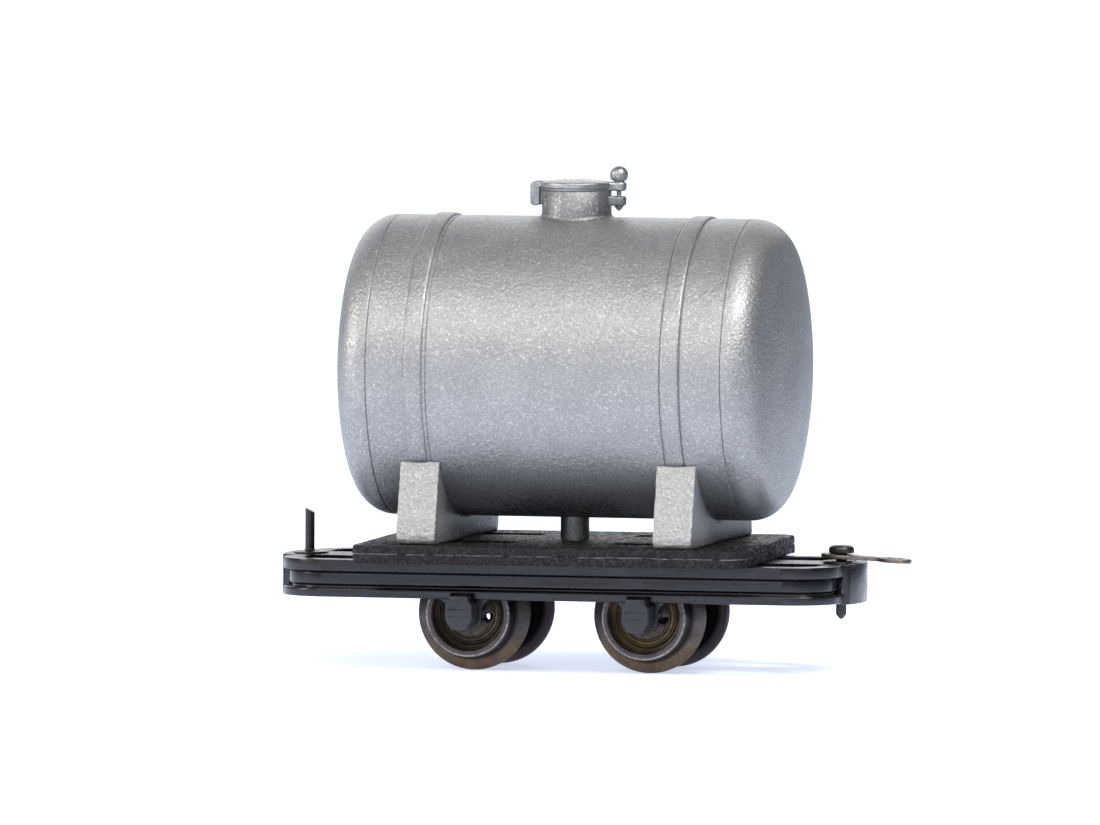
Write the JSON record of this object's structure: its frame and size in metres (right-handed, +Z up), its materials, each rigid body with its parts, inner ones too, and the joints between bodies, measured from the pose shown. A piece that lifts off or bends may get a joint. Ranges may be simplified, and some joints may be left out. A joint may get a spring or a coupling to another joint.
{
  "type": "model tank wagon",
  "caption": "Two-axle narrow-gauge model tank wagon: silver tank on two saddles and a deck, channel underframe with curved ends, drop-in coupling link.",
  "frame": {"origin": "track centre line at rail-top level, midway between the two axles", "axes": "+X along the track towards the end with the coupling link, +Z up, +Y to the left when facing +X"},
  "size_m": [0.0325, 0.0168, 0.0255],
  "materials": {
    "frame_plastic": "satin black moulding",
    "box_plastic": "satin black moulding",
    "deck_board": "rough black board",
    "ballast_steel": "plain rolled steel",
    "screw_steel": "blackened steel",
    "tank_silver": "satin silver paint",
    "tank_dark": "dark metallic paint",
    "saddle_silver": "grainy silver paint",
    "hatch_silver": "satin silver paint",
    "axle_steel": "darkened steel",
    "bush_plastic": "black insulating plastic",
    "wheel_metal": "burnished dark metal",
    "pin_black": "black, satin",
    "link_metal": "raw stamped metal"
  },
  "bodies": {
    "wagon": {"frame_moulding": "frame_plastic", "ballast_bar": "ballast_steel", "deck_lower": "deck_board", "deck_upper": "deck_board", "tank_screws": "screw_steel", "tank_barrel": "tank_silver", "outlet_pipe": "tank_dark", "hatch_neck": "hatch_silver", "hatch_lid": "hatch_silver", "hatch_bolt": "hatch_silver", "hatch_knob": "hatch_silver", "coupling_pin_a": "pin_black", "tank_end_a": "tank_silver", "tank_saddle_a": "saddle_silver", "tank_band_a": "tank_silver", "axle_box_near_a": "box_plastic", "axle_box_far_a": "box_plastic", "tank_end_b": "tank_silver", "tank_saddle_b": "saddle_silver", "tank_band_b": "tank_silver", "axle_box_near_b": "box_plastic", "axle_box_far_b": "box_plastic"},
    "wheelset_a": {"axle_a": "axle_steel", "insulating_bush_a": "bush_plastic", "wheel_near_a": "wheel_metal", "wheel_far_a": "wheel_metal"},
    "wheelset_b": {"axle_b": "axle_steel", "insulating_bush_b": "bush_plastic", "wheel_near_b": "wheel_metal", "wheel_far_b": "wheel_metal"},
    "link": {"coupling_link": "link_metal"},
    "link_pin": {"coupling_pin_b": "pin_black"}
  },
  "joints": [
    {"name": "wheelset_a_spin", "type": "hinge", "parent": "wagon", "child": "wheelset_a", "pos_m": [-0.00456, 0, 0.00221], "axis": [0, 1, 0], "continuous": true},
    {"name": "wheelset_b_spin", "type": "hinge", "parent": "wagon", "child": "wheelset_b", "pos_m": [0.00456, 0, 0.00221], "axis": [0, 1, 0], "continuous": true},
    {"name": "link_swing", "type": "hinge", "parent": "wagon", "child": "link", "pos_m": [0.01384, 0, 0.00526], "axis": [0, 0, 1], "range_deg": [-120, 120]},
    {"name": "link_pin_lift", "type": "slide", "parent": "wagon", "child": "link_pin", "axis": [0, 0, 1], "range_m": [0, 0.0035]}
  ]
}
